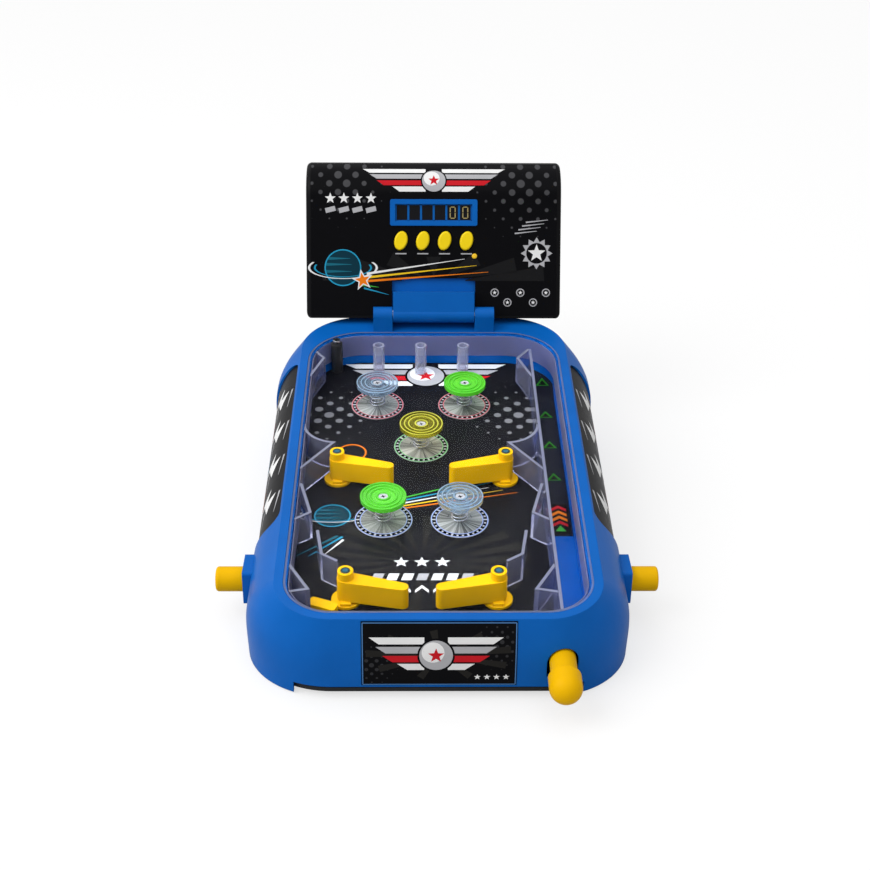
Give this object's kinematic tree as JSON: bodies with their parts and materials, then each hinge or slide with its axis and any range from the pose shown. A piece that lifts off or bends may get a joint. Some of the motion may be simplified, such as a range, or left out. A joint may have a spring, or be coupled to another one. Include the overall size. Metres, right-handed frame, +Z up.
{
  "type": "tabletop pinball game",
  "caption": "Tabletop pinball game: tilted playfield under a clear cover, button-driven flippers, spring plunger, sprung bumpers and a fold-down score box.",
  "frame": {"origin": "on the table, under the middle of the whole game with its plunger and leaning score box", "axes": "+Y points away from the player up the field, +X to the player's right, +Z up"},
  "size_m": [0.3, 0.4772, 0.2121],
  "materials": {
    "blue_gloss_plastic": "smooth moulded blue plastic",
    "yellow_gloss_plastic": "smooth moulded yellow plastic",
    "black_gloss_plastic": "satin black plastic with fine print",
    "clear_plastic": "clear see-through acrylic",
    "clear_blue_plastic": "see-through pale blue plastic",
    "clear_green_plastic": "see-through green plastic",
    "clear_yellow_plastic": "see-through yellow plastic",
    "field_print": "glossy printed board",
    "lane_print": "glossy printed strip",
    "bumper_print": "glossy printed discs with silvery centres",
    "score_print": "printed black sheet with grey dots",
    "label_print": "printed black label",
    "base_plastic": "matt black plastic",
    "inner_plastic": "white moulded plastic",
    "steel": "bright wire and screws",
    "ball_chrome": "polished steel ball",
    "foot_rubber": "black rubber",
    "battery_wrap": "printed battery wrap",
    "contact_brass": "stamped contacts",
    "board_green": "green circuit board",
    "display_dark": "dark display window",
    "lamp_amber": "small amber lamp lens"
  },
  "bodies": {
    "cabinet": {"base_screws": "steel", "base_tray": "base_plastic", "batteries": "battery_wrap", "battery_contacts": "contact_brass", "battery_door": "base_plastic", "bumper_cap_lower_left": "clear_green_plastic", "bumper_cap_lower_right": "clear_blue_plastic", "bumper_cap_middle": "clear_yellow_plastic", "bumper_cap_upper_left": "clear_blue_plastic", "bumper_cap_upper_right": "clear_green_plastic", "bumper_decals": "bumper_print", "bumper_posts": "clear_plastic", "bumper_springs": "steel", "clear_cover": "clear_plastic", "cover_pins": "clear_plastic", "cover_post": "base_plastic", "cover_screw": "steel", "drain_block": "yellow_gloss_plastic", "field_deck": "blue_gloss_plastic", "front_label": "label_print", "guide_walls": "clear_plastic", "hinge_pin": "steel", "lane_strip": "lane_print", "left_button_spring": "steel", "left_side_panel": "black_gloss_plastic", "main_housing": "blue_gloss_plastic", "playfield_board": "field_print", "plunger_spring": "steel", "right_button_spring": "steel", "right_side_panel": "black_gloss_plastic", "rubber_feet": "foot_rubber"},
    "lower_left_flipper_body": {"lower_left_flipper": "yellow_gloss_plastic", "lower_left_crank": "inner_plastic"},
    "lower_right_flipper_body": {"lower_right_flipper": "yellow_gloss_plastic", "lower_right_crank": "inner_plastic"},
    "upper_left_flipper_body": {"upper_left_flipper": "yellow_gloss_plastic", "upper_left_crank": "inner_plastic"},
    "upper_right_flipper_body": {"upper_right_flipper": "yellow_gloss_plastic", "upper_right_crank": "inner_plastic"},
    "left_link_body": {"left_link_bar": "inner_plastic"},
    "left_button_body": {"left_button": "yellow_gloss_plastic"},
    "right_link_body": {"right_link_bar": "inner_plastic"},
    "right_button_body": {"right_button": "yellow_gloss_plastic"},
    "plunger_body": {"plunger_knob": "yellow_gloss_plastic", "plunger_rod": "inner_plastic"},
    "ball_body": {"steel_ball": "ball_chrome"},
    "score_box": {"score_front_shell": "black_gloss_plastic", "score_rear_shell": "black_gloss_plastic", "score_screws": "steel", "score_sheet": "score_print", "display_bezel": "blue_gloss_plastic", "display_module": "display_dark", "circuit_board": "board_green", "indicator_lamp": "lamp_amber", "speaker": "base_plastic", "hinge_neck": "blue_gloss_plastic"},
    "first_score_button_body": {"first_score_button": "yellow_gloss_plastic"},
    "second_score_button_body": {"second_score_button": "yellow_gloss_plastic"},
    "third_score_button_body": {"third_score_button": "yellow_gloss_plastic"},
    "fourth_score_button_body": {"fourth_score_button": "yellow_gloss_plastic"}
  },
  "joints": [
    {"name": "left_button_slide", "type": "slide", "parent": "cabinet", "child": "left_button_body", "axis": [1, 0, 0], "range_m": [0, 0.00918], "stiffness_N_per_m": 250, "springref_m": -0.004, "deforming": ["left_button_spring"]},
    {"name": "lower_left_flipper_turn", "type": "hinge", "parent": "cabinet", "child": "lower_left_flipper_body", "pos_m": [-0.0602, -0.14904, 0.0343], "axis": [0, -0.1045, 0.9945], "range_deg": [0, 45]},
    {"name": "upper_left_flipper_turn", "type": "hinge", "parent": "cabinet", "child": "upper_left_flipper_body", "pos_m": [-0.0714, -0.01476, 0.04841], "axis": [0, -0.1045, 0.9945], "range_deg": [0, 45]},
    {"name": "left_link_turn", "type": "hinge", "parent": "lower_left_flipper_body", "child": "left_link_body", "pos_m": [-0.0648, -0.15893, 0.0223], "axis": [0, -0.1045, 0.9945], "range_deg": [-45, 0]},
    {"name": "right_button_slide", "type": "slide", "parent": "cabinet", "child": "right_button_body", "axis": [-1, 0, 0], "range_m": [0, 0.00918], "stiffness_N_per_m": 250, "springref_m": -0.004, "deforming": ["right_button_spring"]},
    {"name": "lower_right_flipper_turn", "type": "hinge", "parent": "cabinet", "child": "lower_right_flipper_body", "pos_m": [0.0392, -0.14904, 0.0343], "axis": [0, 0.1045, -0.9945], "range_deg": [0, 45]},
    {"name": "upper_right_flipper_turn", "type": "hinge", "parent": "cabinet", "child": "upper_right_flipper_body", "pos_m": [0.0504, -0.01476, 0.04841], "axis": [0, 0.1045, -0.9945], "range_deg": [0, 45]},
    {"name": "right_link_turn", "type": "hinge", "parent": "lower_right_flipper_body", "child": "right_link_body", "pos_m": [0.0438, -0.15893, 0.0223], "axis": [0, 0.1045, -0.9945], "range_deg": [-45, 0]},
    {"name": "plunger_pull", "type": "slide", "parent": "cabinet", "child": "plunger_body", "axis": [0, -0.9945, -0.1045], "range_m": [0, 0.015], "stiffness_N_per_m": 300, "springref_m": -0.004, "deforming": ["plunger_spring"]},
    {"name": "ball_run", "type": "slide", "parent": "cabinet", "child": "ball_body", "axis": [0, 0.9945, 0.1045], "range_m": [0, 0.24]},
    {"name": "score_box_fold", "type": "hinge", "parent": "cabinet", "child": "score_box", "pos_m": [0, 0.15546, 0.106], "axis": [1, 0, 0], "range_deg": [0, 115]},
    {"name": "first_score_button_press", "type": "slide", "parent": "score_box", "child": "first_score_button_body", "axis": [0, 0.9304, -0.3665], "range_m": [0, 0.0015], "stiffness_N_per_m": 400, "springref_m": -0.001},
    {"name": "second_score_button_press", "type": "slide", "parent": "score_box", "child": "second_score_button_body", "axis": [0, 0.9304, -0.3665], "range_m": [0, 0.0015], "stiffness_N_per_m": 400, "springref_m": -0.001},
    {"name": "third_score_button_press", "type": "slide", "parent": "score_box", "child": "third_score_button_body", "axis": [0, 0.9304, -0.3665], "range_m": [0, 0.0015], "stiffness_N_per_m": 400, "springref_m": -0.001},
    {"name": "fourth_score_button_press", "type": "slide", "parent": "score_box", "child": "fourth_score_button_body", "axis": [0, 0.9304, -0.3665], "range_m": [0, 0.0015], "stiffness_N_per_m": 400, "springref_m": -0.001}
  ],
  "couplings": [
    {"joint": "lower_left_flipper_turn", "follows": "left_button_slide", "rad_per_m": 85.514},
    {"joint": "upper_left_flipper_turn", "follows": "left_button_slide", "rad_per_m": 85.514},
    {"joint": "left_link_turn", "follows": "left_button_slide", "rad_per_m": -85.514},
    {"joint": "lower_right_flipper_turn", "follows": "right_button_slide", "rad_per_m": 85.514},
    {"joint": "upper_right_flipper_turn", "follows": "right_button_slide", "rad_per_m": 85.514},
    {"joint": "right_link_turn", "follows": "right_button_slide", "rad_per_m": -85.514}
  ]
}
